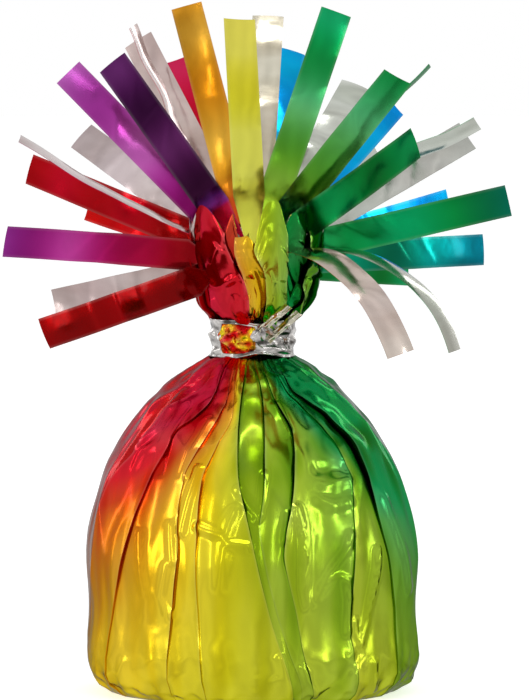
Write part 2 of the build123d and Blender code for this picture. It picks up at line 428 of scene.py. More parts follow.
def front_fold(upper, lift, neck, places):
    """Pleat from its angle at the neck down through places seen from the front, some with a lift."""
    path = [(TIE_BOTTOM, neck, lift)]
    for across, height, *own in places:
        path.append((height, seen_angle(across, height, side_heights, side_radius), own[0] if own else lift))
    return Fold(sorted(path), upper)


FRONT_FOLDS = [
    front_fold(1, 0.5, -42, [(-9.5, 62.5), (-15.3, 59), (-20.4, 52.5), (-24, 48), (-27.8, 43.5), (-30.8, 36),
                             (-32, 30, 0.3), (-32.6, 18, 0.2), (-31, 3, 0.2)]),
    front_fold(-1, 0.5, -30, [(-7.5, 61), (-10, 58), (-15.3, 54), (-18, 49.5), (-21.3, 42.5, 0.2),
                              (-24.8, 33, 0.3), (-26.8, 24.5, 0.45), (-28.6, 14, 0.4), (-28, 2, 0.3)]),
    front_fold(-1, 0.2, -22, [(-4.8, 60.5), (-9.8, 52, 0.3), (-13.2, 46, 0.2), (-14.6, 40, 0.3),
                              (-14.8, 30.5, 0.5), (-15.8, 23.5, 0.5), (-16.4, 15, 0.4), (-16.2, 2, 0.3)]),
    front_fold(-1, 0.2, -15, [(-3.8, 57), (-7, 51.5, 0.1), (-9.8, 46, 0.3), (-10.9, 40, 0.5),
                              (-11.2, 33, 0.6), (-11.2, 25, 0.6), (-10.6, 14, 0.5), (-9.3, 2, 0.3)]),
    front_fold(-1, 0.9, -7, [(-2.3, 61), (-3, 55), (-3, 45), (-2, 39.5, 0.8), (-0.5, 34, 0.4), (1.4, 26, 0.3),
                             (3.6, 17.5, 0.3), (6, 10, 0.5), (8, 1.5, 0.3)]),
    front_fold(1, 0.6, 1, [(1.8, 63), (2.6, 58.5), (2.9, 49), (2, 40, 0.3), (1.2, 35.5, 0.2), (3, 26, 0.1),
                           (5.2, 17.5, 0.1), (7.6, 10, 0.2), (10, 1.5, 0.2)]),
    front_fold(1, 0.7, 9, [(3.4, 63), (5, 59), (8, 55), (8.7, 49), (8.2, 41, 0.8), (7, 35.5, 0.7),
                           (6.2, 30, 0.4), (7, 26, 0.1), (8.7, 19, 0.1), (10.2, 10, 0.2), (12, 1.5, 0.3)]),
    front_fold(1, 0.2, 17, [(6, 63), (10.5, 58.5), (16, 52.5), (19.6, 46), (20, 37.5), (20.3, 28), (19.5, 14),
                            (20, 1.5)]),
    front_fold(1, 1.0, 26, [(8, 62), (15, 56.5), (19.3, 51.5, 1.0), (21.8, 46.5, 0.9), (24.4, 40, 0.5),
                            (26.2, 33, 0.4), (27.8, 25.5, 0.35), (28.5, 18, 0.25), (28.8, 10, 0.2),
                            (27, 1.5, 0.2)]),
    front_fold(-1, 0.3, 58, [(15.5, 62), (24, 53), (29, 45), (31.6, 37), (33, 28), (33, 10), (31, 1.5)]),
]
REAR_ANGLES = [108, 127, 146, 166, 184, 205, 224, 243, 260]


def rear_fold(number, angle):
    sway = 5 * math.sin(2.1 * number)
    lift = 0.55 + 0.25 * math.sin(1.7 * number)
    path = [(0, angle + sway, 0.3), (24, angle + sway * 0.4, 0.6 * lift), (46, angle - sway, lift),
            (68, angle + sway * 0.5, lift)]
    return Fold(path, 1 if number % 3 else -1)


SKIRT_FOLDS = FRONT_FOLDS + [rear_fold(number, angle) for number, angle in enumerate(REAR_ANGLES)]
print("folds round the skirt:", len(SKIRT_FOLDS))

# %% [markdown]
# Between the folds the film is creased: it buckled once and keeps a sharp ridge, which catches the
# light as a thin bright zigzag. These are lines of places too, with the height of the ridge.

# %% Creases of the skirt
class Crease(NamedTuple):
    """Sharp ridge through places seen from the front; its height and half width in mm."""

    places: list
    rise: float
    reach: float = 1.9


SKIRT_CREASES = [
    Crease([(8.6, 39.3), (10.1, 33.8), (10.5, 28.3), (10.5, 23.7), (11.2, 20.2)], 0.9, 1.7),
    Crease([(11.2, 20.2), (13.3, 23.2), (15.8, 27.2), (19, 31.5), (19.4, 34)], 0.6, 1.3),
    Crease([(13, 21.6), (15.6, 25), (17.4, 26), (18.8, 25), (19.2, 21.3), (19, 14.4)], 0.6, 1.3),
    Crease([(24.9, 30.6), (24.9, 27.3), (23.9, 21.3), (22.8, 15.8), (21.6, 12.1)], 0.8, 1.6),
    Crease([(21.6, 12.1), (20.7, 14.4), (20.5, 16.7)], 0.5, 1.3),
    Crease([(21.4, 10), (18.6, 6), (15.2, 2.2)], -0.5),
    Crease([(-2.6, 43), (-0.6, 40.3), (1.2, 38.4)], 0.5, 1.5),
    Crease([(2.2, 46), (1.8, 41), (0.8, 37.5)], 0.4, 1.4),
    Crease([(-10.6, 35.8), (-6.2, 34.2), (-5, 32.8), (-1, 32.2)], 0.8, 1.7),
    Crease([(-3.4, 39), (-5.6, 33.4), (-6.6, 24)], 0.6, 2.2),
    Crease([(13.4, 41), (16, 39.8), (18.8, 40.4)], 0.6, 2.2),
    Crease([(-26.2, 8), (-25.4, 1.5)], 0.6),
    Crease([(0.2, 1.5), (1.2, 7.5)], 0.5, 1.3),
    Crease([(2.0, 1), (4.6, 5.6)], 0.5, 1.3),
    Crease([(5.4, 10), (6.6, 5), (7.2, 1.5)], 0.5, 1.4),
    Crease([(-17.2, 28), (-18.2, 22), (-16.8, 18.5)], 0.5),
    Crease([(-22.4, 34), (-22.4, 27), (-21.4, 22)], 0.5),
    Crease([(-16.2, 36), (-16, 29)], 0.5, 1.6),
    Crease([(-14, 35), (-12.6, 41), (-10.6, 47)], 0.6),
    Crease([(-20.6, 9), (-21.6, 16), (-20.8, 22)], 0.35, 2.4),
    Crease([(-21.5, 51.5), (-18.5, 54), (-16.5, 57.5)], 0.6),
    Crease([(-14, 61.5), (-17.5, 56.5), (-22.5, 50.5)], 0.6),
    Crease([(-23.4, 46.5), (-21.8, 49.5), (-19, 51)], 0.35, 2.0),
    Crease([(-13, 58.5), (-16.5, 53), (-18.5, 46.5)], -0.5),
    Crease([(-8.6, 56), (-11.4, 51.5), (-13.6, 46)], 0.5),
    Crease([(26.5, 40), (29.5, 32), (31.5, 22)], 0.5, 2.4),
    Crease([(4.4, 59), (5.6, 57), (6.8, 54.4)], 0.45, 1.6),
    Crease([(6.9, 38.5), (6.2, 33.3)], 0.5, 1.3),
    Crease([(13.2, 47), (18, 47)], -0.6, 2.4),
    Crease([(14, 43.6), (19, 44.6)], 0.4, 1.8),
    Crease([(11.6, 10), (14.4, 8.6), (18, 9.6)], 0.3, 2.4),
    Crease([(-13.8, 14), (-13.2, 7), (-14.6, 2)], 0.3, 2.6),
    Crease([(-6.6, 12), (-4.8, 5), (-5.4, 1.5)], 0.3, 2.6),
    Crease([(10, 8), (12.4, 2)], 0.5, 1.4),
    Crease([(24.6, 8), (23.4, 2)], 0.5, 1.5),
]


def crease_lift(points, creases, heights, radius):
    """Lift of each point, in mm, by the creases near it; creases that cross don't pile up."""
    ridge = np.zeros(len(points))
    groove = np.zeros(len(points))
    for crease in creases:
        turns = np.radians([seen_angle(across, height, heights, radius) for across, height in crease.places])
        levels = np.array([height for _, height in crease.places])
        out = np.interp(levels, heights, radius)
        line = round_places(out, turns, levels)
        nearest = np.full(len(points), np.inf)
        for start, end in zip(line, line[1:]):
            way = end - start
            share = np.clip((points - start) @ way / (way @ way), 0, 1)
            nearest = np.minimum(nearest, np.linalg.norm(points - start - np.outer(share, way), axis=1))
        near = 0.5 + 0.5 * np.cos(math.pi * np.clip(nearest / crease.reach, 0, 1))
        ridge, groove = np.maximum(ridge, crease.rise * near), np.minimum(groove, crease.rise * near)
    return ridge + groove


print("creases in the skirt:", len(SKIRT_CREASES))

# %% [markdown]
# A pleat runs along two columns of the sheet, so it stays sharp: one column is the raised edge and
# the next is the bottom of the slot, tucked under it. The panel sinks from its raised edge to the next
# slot. Beside a slot the film mirrors the dark underside of the raised edge; this is painted shade,
# which deepens the ink's colour there.

# %% Pleats
EDGE_OVERHANG = 0.45
SLOT_TUCK = 0.35
SLOT_REACH = 0.8
SLOT_DEPTH = 0.6
FIRM_LIFT = 0.8
SHADE_REACH = 1.8
SHADE_LIFT = 0.5
EDGE_WEAR_REACH = 0.4
PATH_ROUNDING = np.hanning(17)[1:-1] / np.hanning(17).sum()


def fall_off(distance, reach):
    return np.clip(1 - distance / reach, 0, 1) ** 2


def along_path(fold, item, heights):
    """Angle (1) or lift (2) of a fold at each height, with the corners of its path rounded."""
    path = np.array(fold.path)
    value = np.interp(heights, path[:, 0], path[:, item])
    padded = np.pad(value, len(PATH_ROUNDING) // 2, mode="edge")
    return np.convolve(padded, PATH_ROUNDING, "valid")


def pleats(panel, row, share, width, lifts, upper, amount):
    """What the folds beside each point do to it: rise, slide round the weight, edge and painted shade."""
    rise, slide, edge, shade = np.zeros((4, len(row)))
    for fold, distance, outwards in ((panel, share * width, -1), (panel + 1, (1 - share) * width, 1)):
        raised = upper[fold] == -outwards
        lift = lifts[fold, row]
        tilt = np.clip(1 - distance / np.maximum(width, 0.5), 0, 1)
        slot = -SLOT_DEPTH * fall_off(distance, SLOT_REACH)
        rise += amount * lift * np.where(raised, tilt * (0.4 + 0.6 * tilt), slot)
        firm = amount * np.clip(lift / FIRM_LIFT, 0, 1) ** 2 * outwards
        slide += firm * np.where(raised, EDGE_OVERHANG, SLOT_TUCK) * fall_off(distance, SLOT_REACH)
        edge += np.where(raised, amount * fall_off(distance, EDGE_WEAR_REACH), 0)
        # Painted shade on the slot side, fading away from the fold.
        dark = np.clip(lift / SHADE_LIFT, 0, 1.5) * np.exp(-distance / SHADE_REACH)
        shade += np.where(raised, 0, amount * dark)
    return rise, slide, edge, shade


print("a slot is", SLOT_REACH, "mm wide and its edge hangs over by", EDGE_OVERHANG, "mm")

# %% [markdown]
# Gathering is one routine for the skirt and the head. The sheet's columns are shared out between the
# folds. Between two folds a panel is pulled nearly flat, so it mirrors one tone, and soft noise and
# dished facets crumple it. How far a point lies along the film from the middle of the sheet is kept,
# because the rainbow is read from it.

# %% Gather film along folds
COLUMNS_PER_PANEL = 23
EDGE_CROWDING = 0.75
FLATTEN = 0.6
LIFT_SWAY = 0.45
WAVE_SIZE, FACET_SIZE, FINE_SIZE, INK_SIZE = 3.5, 9.0, 3.0, 4.0
EDGE_WEAR, FACET_WEAR, MOST_WEAR = 0.08, 0.1, 0.3
SCUFF_START = 0.15
SHADE_INK, UNEVEN_INK, DEEPEST_SHADE_AND_INK = 0.8, 0.7, 1.2


class Outline(NamedTuple):
    """Half outline of gathered film in mm, and how strongly each level is folded and crumpled."""

    radius: np.ndarray
    height: np.ndarray
    fold: np.ndarray
    lobe: np.ndarray
    soft: np.ndarray
    crumple: np.ndarray
    fine: np.ndarray


class Gathered(NamedTuple):
    """A gathered sheet: its points in mm, and for each its panel, share of it and place on the film."""

    sheet: bpy.types.Object
    points: np.ndarray
    along: np.ndarray
    flat_angle: np.ndarray
    panel: np.ndarray
    share: np.ndarray
    wear: np.ndarray
    depth: np.ndarray


def gather(name, outline, folds, creases, wall, flat_level, flat_start):
    """Sheet carried round the outline, pleated along folds and creased on its wall of heights, radii."""
    panels = len(folds)
    sheet, column, row = add_sheet(name, panels * (COLUMNS_PER_PANEL + 1), len(outline.radius) - 1)
    turn, panel = np.divmod(column // (COLUMNS_PER_PANEL + 1), panels)
    even = (column % (COLUMNS_PER_PANEL + 1)) / COLUMNS_PER_PANEL
    share = EDGE_CROWDING * (1 - np.cos(math.pi * even)) / 2 + (1 - EDGE_CROWDING) * even

    angles = [along_path(fold, 1, outline.height) for fold in folds]
    angles = np.radians(np.array(angles + [angles[0] + 360]))
    lifts = [along_path(fold, 2, outline.height) for fold in folds]
    lifts = np.array(lifts) * (1 + LIFT_SWAY * np.sin(outline.height / 6 + 2.3 * np.arange(panels)[:, None]))
    lifts = np.vstack([lifts, lifts[:1]])
    upper = np.array([fold.upper for fold in folds] + [folds[0].upper])
    start, end = angles[panel, row], angles[panel + 1, row]
    radius, height = outline.radius[row], outline.height[row]
    width = radius * (end - start)
    angle = start + share * (end - start) + turn * 2 * math.pi
    level_row = np.argmin(np.abs(outline.height - flat_level))
    first, last = angles[panel, level_row], angles[panel + 1, level_row]
    flat_angle = first + share * (last - first) + turn * 2 * math.pi

    half = (end - start) / 2
    chord = np.cos(half) / np.cos((2 * share - 1) * half) - 1
    radius = radius * (1 + FLATTEN * chord)
    amount = outline.fold[row] * np.clip(width / 4, 0.15, 1)
    rise, slide, edge, shade = pleats(panel, row, share, width, lifts, upper, amount)
    rise -= outline.lobe[row] * (1 - np.sin(math.pi * share) ** 0.7) * np.clip(width / 6, 0.3, 1.2)
    angle += slide / np.maximum(radius, 1.0)

    base = round_places(radius, angle, height)
    waves = soft_noise(base * (1, 1, 0.12), WAVE_SIZE)
    ridges = facets(base * (1, 1, 0.45) + 40.0, FACET_SIZE)
    small = facets(base + 90.0, FINE_SIZE)
    rise += outline.soft[row] * waves + outline.crumple[row] * ridges + outline.fine[row] * small
    rise += crease_lift(base, creases, *wall)

    slope_r = np.gradient(outline.radius)[row]
    slope_z = np.gradient(outline.height)[row]
    length = np.maximum(np.hypot(slope_r, slope_z), 1e-6)
    radius = np.maximum(radius + rise * slope_z / length, 0)
    height = height - rise * slope_r / length
    points = round_places(radius, angle, height)

    step = np.hypot(np.diff(outline.radius), np.diff(outline.height))
    along = (flat_start + np.concatenate([[0], np.cumsum(step)]))[row]
    scuffed = outline.crumple[row] * np.clip(ridges - SCUFF_START, 0, 1)
    wear = np.clip(EDGE_WEAR * edge + FACET_WEAR * scuffed, 0, MOST_WEAR)
    uneven = soft_noise(base * (1, 1, 0.1) + 20.0, INK_SIZE)
    # Painted shade beside the slots, plus ink that is uneven at random.
    depth = np.clip(SHADE_INK * shade + UNEVEN_INK * uneven, 0, DEEPEST_SHADE_AND_INK)
    return Gathered(sheet, points, along, flat_angle, panel, share, wear, depth)


print("columns of the skirt's sheet:", len(SKIRT_FOLDS) * (COLUMNS_PER_PANEL + 1))


# %% [markdown]
# The skirt lies flat under the foot, crumples along the foot's edge where the sheet turns up, is
# pulled nearly smooth on the side, and crumples again where it is squeezed into the neck. Towards the
# neck ever more film goes into the folds, so a step round the neck is a longer step on the flat sheet
# and the rainbow is drawn together there. Film tucked away in some folds moves the rainbow on the
# panels beside them by so many mm, so the lime begins just right of the middle fold.

# %% Skirt
SKIRT_INK_REACH = 112.0
TUCKED_FILM = {4: 14.0, 5: 14.0, 6: 2.0, 7: -18.0}
CREASE_ANGLE = 38


def level(*pairs):
    """Value at every level of the skirt, from a few (height, value) pairs; none under the foot."""
    return np.interp(skirt_height, *zip(*pairs)) * np.where(skirt_height > 0, 1, 0)


on_foot = np.interp(skirt_radius, [foot_radius - 6, foot_radius], [0, 0.3]) * np.where(skirt_height > 0, 0, 1)
skirt_outline = Outline(
    skirt_radius, skirt_height,
    fold=level((0, 0.3), (6, 0.55), (20, 0.8), (50, 1.1), (60, 0.8), (68, 0.3)) + on_foot,
    lobe=level((0, 0), (54, 0), (62, 0.15), (66, 0.3), (70, 0.3)),
    soft=level((0, 0.1), (5, 0.3), (30, 0.3), (55, 0.35), (64, 0.4), (68, 0.2)),
    crumple=level((0, 0.4), (3, 1.6), (10, 0.6), (48, 0.6), (58, 0.9), (68, 0.5)),
    fine=level((0, 0.2), (2, 1.1), (6, 0.4), (12, 0.0), (56, 0.0), (63, 0.3), (68, 0.3)),
)
skirt_film = gather("foil_skirt_film", skirt_outline, SKIRT_FOLDS, SKIRT_CREASES,
                    (side_heights, side_radius), 24.0, 0.0)
skirt = skirt_film.sheet
points = skirt_film.points
points[:, 2] = np.maximum(points[:, 2], 0.0)
drawn_in = np.interp(points[:, 2], [36, 64], [1.0, 1.6])
tucked = np.select([skirt_film.panel == panel for panel in TUCKED_FILM], TUCKED_FILM.values(), 0.0)
ink = skirt_film.along * np.sin(skirt_film.flat_angle) * drawn_in + tucked
ink = np.clip(ink, -SKIRT_INK_REACH, SKIRT_INK_REACH)
shape_sheet(skirt, points, ink, -skirt_film.along * np.cos(skirt_film.flat_angle), skirt_film.wear,
            skirt_film.depth)
close_sheet(skirt, CREASE_ANGLE)
skirt.data.materials.append(printed_film)
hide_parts("foil_skirt")
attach(skirt, "wrapped_weight")
print("skirt:", len(skirt.data.polygons), "faces; film to the neck:", skirt_film.along.max().round(1), "mm")

# %% [markdown]
# Above the tie the same sheet opens again into a bud of overlapping petals, wider to the right than to
# the left. Near the tie it follows the CAD solid; above, it opens into a cup, and the strips come out of
# it. Inside, the cup goes down again to a floor, so the sheet is closed.

# %% Outline of the head
HEAD_BOTTOM = TIE_BOTTOM - 1.0
HEAD_RIM = 96.0
FLOOR_EDGE = 90.0
FLOOR_MIDDLE = 93.5
RIM_FOLD = 0.25
CUP_RINGS, INNER_RINGS, FLOOR_RINGS = 90, 14, 12

cup_heights = np.linspace(TIE_BOTTOM + 0.4, HEAD_RIM, CUP_RINGS)
cup_radius = outer_radius("foil_head", cup_heights)
cup_radius -= np.interp(cup_heights, [TIE_TOP, 78, 81, 84, 87, 91, 93, HEAD_RIM],
                        [-0.2, 0.0, 1.0, 1.25, 0.7, -0.5, -1.4, -3.4])
rim_radius = cup_radius[-1] - RIM_FOLD
inner_radius = np.concatenate([np.linspace(rim_radius, rim_radius - 1.5, INNER_RINGS),
                               np.linspace(rim_radius - 2, 0, FLOOR_RINGS)])
inner_height = np.concatenate([np.linspace(HEAD_RIM, FLOOR_EDGE, INNER_RINGS),
                               np.linspace(FLOOR_EDGE, FLOOR_MIDDLE, FLOOR_RINGS)])
head_radius = np.concatenate([[0.0, 5.0], cup_radius, inner_radius])
head_height = np.concatenate([[HEAD_BOTTOM] * 2, cup_heights, inner_height])
outside = np.arange(len(head_radius)) < 2 + len(cup_radius)
print("head: widest", round(head_radius.max(), 1), "mm, rim at", round(head_height.max(), 1), "mm")

# %% [markdown]
# Each petal is a panel with its own stretch of the rainbow, because the film between two petals is
# tucked away inside. From the left the front shows crimson, a narrow brown one, gold, lime, emerald
# and light green; the colours behind go on round. The rim rises to a tip in each petal, not always in
# its middle, and drops to a notch between two, where the silver inside shows. Creases cross the petals.

# %% Petals
class Petal(NamedTuple):
    """Left border, as places (mm right, height) or as an angle; lift; inks; heights and shape of the rim."""

    border: object
    upper: int
    lift: float
    ink_left: float
    ink_right: float
    notch: float = 93.0
    tip: float = 96.5
    peak: float = 0.5
    blunt: float = 1.6


HEAD_PETALS = [
    Petal(-76, -1, 0.8, -118, -90, tip=98.5, peak=0.4, blunt=1.9),
    Petal([(-0.6, 75.4), (-2.4, 83), (-4.6, 88), (-6.4, 93.5)], -1, 1.2, -72, -58,
          tip=97.0, peak=0.65, blunt=1.1),
    Petal([(0.4, 75.4), (-1.2, 78), (-2, 85.5), (-3.6, 92)], 1, 0.9, -46, -16,
          notch=92.0, tip=92.4, blunt=1.3),
    Petal([(2.2, 75.6), (2.3, 78), (1.8, 88), (0, 94)], 1, 1.2, 2, 44,
          notch=90.5, tip=99.2, peak=0.6, blunt=3.2),
    Petal([(4.8, 76), (5, 83.5), (5.6, 92)], -1, 1.5, 72, 92, tip=97.2, peak=0.4, blunt=2.2),
    Petal([(7.8, 76.5), (9.4, 83), (10.2, 91.5)], 1, 1.0, 44, 60),
    Petal(82, 1, 0.9, 86, 100),
    Petal(112, -1, 1.0, 66, 84),
    Petal(142, 1, 1.2, 24, 48),
    Petal(168, 1, 0.9, -10, 14),
    Petal(196, -1, 1.3, -44, -20),
    Petal(224, 1, 1.0, -84, -60),
    Petal(254, -1, 1.1, -108, -92),
]
HEAD_CREASES = [
    Crease([(-10, 82.3), (-8, 81.8), (-4.5, 84)], 0.8, 1.5),
    Crease([(-10, 81.1), (-6.5, 75.6)], 0.8, 1.5),
    Crease([(-4.5, 80.5), (-2.8, 75.6)], 0.7, 1.2),
    Crease([(-7.6, 90), (-8.8, 86), (-6.4, 83)], 0.9, 1.6),
    Crease([(-3.6, 88), (-2.2, 82), (-1, 77)], 0.7, 1.0),
    Crease([(-0.6, 86), (0.6, 81), (0.8, 76.5)], 0.6, 1.0),
    Crease([(0.4, 88.6), (2.4, 84), (3.6, 77)], 0.35, 1.3),
    Crease([(5.4, 89), (5.2, 84.5), (6.4, 77.4)], 0.9, 1.2),
    Crease([(6.4, 88), (8.4, 82), (7, 78.5)], -0.8, 1.5),
    Crease([(8.7, 90), (10.6, 86.5), (12, 84.5)], 0.9, 1.4),
    Crease([(10.2, 83.4), (8.6, 80), (8.8, 76.5)], 0.8, 1.3),
]
print("petals:", len(HEAD_PETALS), "creases in the head:", len(HEAD_CREASES))

# %% [markdown]
# The head is gathered like the skirt, more strongly crumpled, and leans a little to the right. Then
# its rim is drawn up or down to each petal's own height, and the faces inside the cup get the silver
# back of the film.

# %% Head
HEAD_SHIFT = 0.7
RIM_START = 84.0
HEAD_FILM_START = 100.0


def head_fold(number, petal):
    """Fold at the left border of a petal."""
    if isinstance(petal.border, list):
        path = [(height, seen_angle(across, height, cup_heights, cup_radius), petal.lift)
                for across, height in petal.border]
    else:
        sway = 4 * math.sin(1.9 * number + 0.6)
        path = [(TIE_TOP, petal.border - sway, petal.lift), (RIM_START, petal.border, petal.lift),
                (HEAD_RIM, petal.border + sway, petal.lift)]
    return Fold(path, petal.upper)


def head_level(*pairs):
    return np.interp(head_height, *zip(*pairs)) * outside


head_outline = Outline(
    head_radius, head_height,
    fold=head_level((HEAD_BOTTOM, 0.2), (TIE_TOP, 0.6), (80, 1.0), (90, 1.2), (HEAD_RIM, 0.8)),
    lobe=head_level((HEAD_BOTTOM, 0.3), (TIE_TOP, 0.3), (80, 0.3), (88, 0.4), (HEAD_RIM, 0.5)),
    soft=head_level((HEAD_BOTTOM, 0.2), (TIE_TOP, 0.3), (84, 0.6), (HEAD_RIM, 0.5)),
    crumple=head_level((HEAD_BOTTOM, 0.4), (TIE_TOP, 0.7), (84, 1.2), (HEAD_RIM, 0.8)),
    fine=head_level((HEAD_BOTTOM, 0.9), (TIE_TOP, 0.8), (79, 0.25), (88, 0.2), (HEAD_RIM, 0.15)),
)
head_folds = [head_fold(number, petal) for number, petal in enumerate(HEAD_PETALS)]
head_film = gather("foil_head_film", head_outline, head_folds, HEAD_CREASES, (cup_heights, cup_radius),
                   RIM_START, HEAD_FILM_START)
head = head_film.sheet
points = head_film.points
share = head_film.share


def of_petal(field, after=0):
    """A field of the petal that each point lies on, or of the next one after it."""
    values = np.array([getattr(petal, field) for petal in HEAD_PETALS + HEAD_PETALS[:1]])
    return values[head_film.panel + after]


points[:, 0] += np.interp(points[:, 2], [TIE_TOP, 80], [0, HEAD_SHIFT])
notch = of_petal("notch") * (1 - share) + of_petal("notch", 1) * share
peak = of_petal("peak")
aside = (share - peak) / np.where(share < peak, peak, 1 - peak)
rim = notch + (of_petal("tip") - notch) * (1 - np.abs(aside) ** of_petal("blunt"))
above = np.clip(points[:, 2] - RIM_START, 0, None)
points[:, 2] += above * ((rim - RIM_START) / (HEAD_RIM - RIM_START) - 1)
ink = of_petal("ink_left") * (1 - share) + of_petal("ink_right") * share
shape_sheet(head, points, ink, head_film.along, head_film.wear, head_film.depth)
cup_along = head_film.along[mesh_corners(head.data).reshape(-1, 4)].max(axis=1)
rim_along = np.unique(head_film.along)[outside.sum() - 1]
head.data.materials.append(printed_film)
head.data.materials.append(silver_film)
head.data.polygons.foreach_set("material_index", (cup_along > rim_along).astype(int))
close_sheet(head, CREASE_ANGLE)
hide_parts("foil_head")
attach(head, "wrapped_weight")
print("head:", len(head.data.polygons), "faces")

# %% [markdown]
# Every strip hangs on a joint of the frame, and the joint and the CAD strip say all about its place:
# the root is the joint's point, the width runs along its axis, and the strip leaves straight away from
# the middle of the fan. The CAD strip's far end tells how far it curls.

# %% Strips from the frame
strip_joints = [joint for joint in frame["joints"] if joint["child"].startswith("fringe_")]
roots = np.array([joint["pos_m"] for joint in strip_joints]) / MM
sphere = np.linalg.lstsq(np.column_stack([2 * roots, np.ones(len(roots))]), (roots**2).sum(1), rcond=None)[0]
fan_centre = sphere[:3]
print("fan centre in mm:", fan_centre.round(2))


class StripPlace(NamedTuple):
    """Where a strip is, in mm: root, directions along, across and out of its face, length, width, curl."""

    root: np.ndarray
    along: np.ndarray
    across: np.ndarray
    face: np.ndarray
    length: float
    width: float
    curl: float


def strip_place(joint):
    root = np.array(joint["pos_m"]) / MM
    across = np.array(joint["axis"])
    along = (root - fan_centre) / np.linalg.norm(root - fan_centre)
    face = np.cross(across, along)
    points = mesh_points(frame["nodes"][joint["child"]].data) / MM - root
    ahead, out, side = points @ along, points @ face, points @ across
    reach = np.hypot(ahead, out)
    tip = reach > reach.max() - 0.3
    curl = 2 * math.atan2(out[tip].mean(), ahead[tip].mean())
    length = reach[tip].mean() * (curl / 2) / math.sin(curl / 2)
    return StripPlace(root, along, across, face, length, np.ptp(side), curl)


places = {joint["child"]: strip_place(joint) for joint in strip_joints}
print("strip length and width in mm:", [round(v, 2) for v in places["fringe_front_1"][4:6]])

# %% [markdown]
# The strips were cut from all round the sheet, so each has its own stretch of the rainbow, from root
# to tip, and some turn their silver back to the viewer. These are read from the photograph. The bud's ink
# is another one for some strips, which change colour at the root. Strips that mirror dark film get painted
# shade, mostly at the root, and a few get painted light.

# %% Looks of the strips
class StripLook(NamedTuple):
    """Place of root, tip and bud in the rainbow, in mm; printed side in front; shape; painted shade at root
    and tip, which below zero is painted light.
    """

    ink_root: float
    ink_tip: float
    printed_in_front: bool = True
    ink_bud: float = 0.0
    ripple: float = 0.1
    twist: float = 12.0
    painted_shade_root: float = 0.1
    painted_shade_tip: float = 0.1


# The last two numbers of a look are painted shade at root and tip; below zero they are painted light.
STRIP_LOOKS = {
    "front_1": StripLook(-124, -110, painted_shade_root=2.0, painted_shade_tip=1.6),
    "front_2": StripLook(-130, -168, painted_shade_root=1.3, painted_shade_tip=0.0),
    # front_3 lies in the two darkest stops, which are painted shade.
    "front_3": StripLook(-210, -204, ink_bud=-118),
    "front_4": StripLook(-4, -14, ink_bud=-2, painted_shade_root=-0.3, painted_shade_tip=-0.3),
    "front_5": StripLook(46, 74, ink_bud=90),
    "front_6": StripLook(82, 96, twist=20, painted_shade_root=0.6, painted_shade_tip=0.3),
    "front_7": StripLook(-56, -52),
    "front_8": StripLook(95, 85),
    "middle_1": StripLook(-130, -150, False),
    "middle_2": StripLook(-160, -168, painted_shade_root=0.7, painted_shade_tip=-0.3),
    "middle_3": StripLook(-100, -120, False),
    "middle_4": StripLook(-46, -47, ink_bud=-66),
    "middle_5": StripLook(44, 86, ink_bud=30, ripple=0.2),
    "middle_6": StripLook(60, 70, False),
    "middle_7": StripLook(60, 76, False),
    "middle_8": StripLook(74, 150),
    "back_1": StripLook(-120, -130, False),
    "back_2": StripLook(-120, -112, painted_shade_root=1.8, painted_shade_tip=0.7),
    "back_3": StripLook(-130, -160, False),
    "back_4": StripLook(-60, -80, False),
    "back_5": StripLook(-112, -120),
    "back_6": StripLook(-70, -80, painted_shade_root=1.6, painted_shade_tip=1.0),
    "back_7": StripLook(-20, -10, False),
    "back_8": StripLook(172, 184),
    "back_9": StripLook(60, 70, False),
    "back_10": StripLook(178, 188),
    "back_11": StripLook(130, 150, False),
    "back_12": StripLook(176, 186),
    "back_13": StripLook(140, 160),
    "rear_1": StripLook(-104, -78, painted_shade_root=1.9, painted_shade_tip=0.5),
    "rear_2": StripLook(-90, -130),
    "rear_3": StripLook(174, 180),
    "rear_4": StripLook(120, 130, False, ink_bud=84),
    "rear_5": StripLook(96, 104),
    "rear_6": StripLook(-130, -170, False),
    "rear_7": StripLook(10, 30, False, ink_bud=-20),
    "rear_8": StripLook(120, 160, False),
}
print("strips with a look:", len(STRIP_LOOKS), "of", len(places))

# %% [markdown]
# A strip is a narrow sheet laid along its arc. A ripple along it and a slight cup across it make the
# light and dark bands, a slanting kink splits it into flat parts that mirror different tones, and a
# twist turns its tip. Each strip takes these differently, by its own number. A strip that droops is
# pinched at its root, and near the root the film is crushed.

# %% Shape of a strip
ROOT_CRUSH, CRUSH_SIZE, CRUSH_REACH = 0.6, 3.2, 4.0
ROOT_PINCH, PINCH_REACH = 0.55, 6.0
KINK_SLOPE, KINK_REACH = 0.13, 6.0
CUP_DEPTH = 0.25
SILVER_RIPPLE = 2.2
LOOSE_AFTER = 8.0
DROOP = math.radians(50)


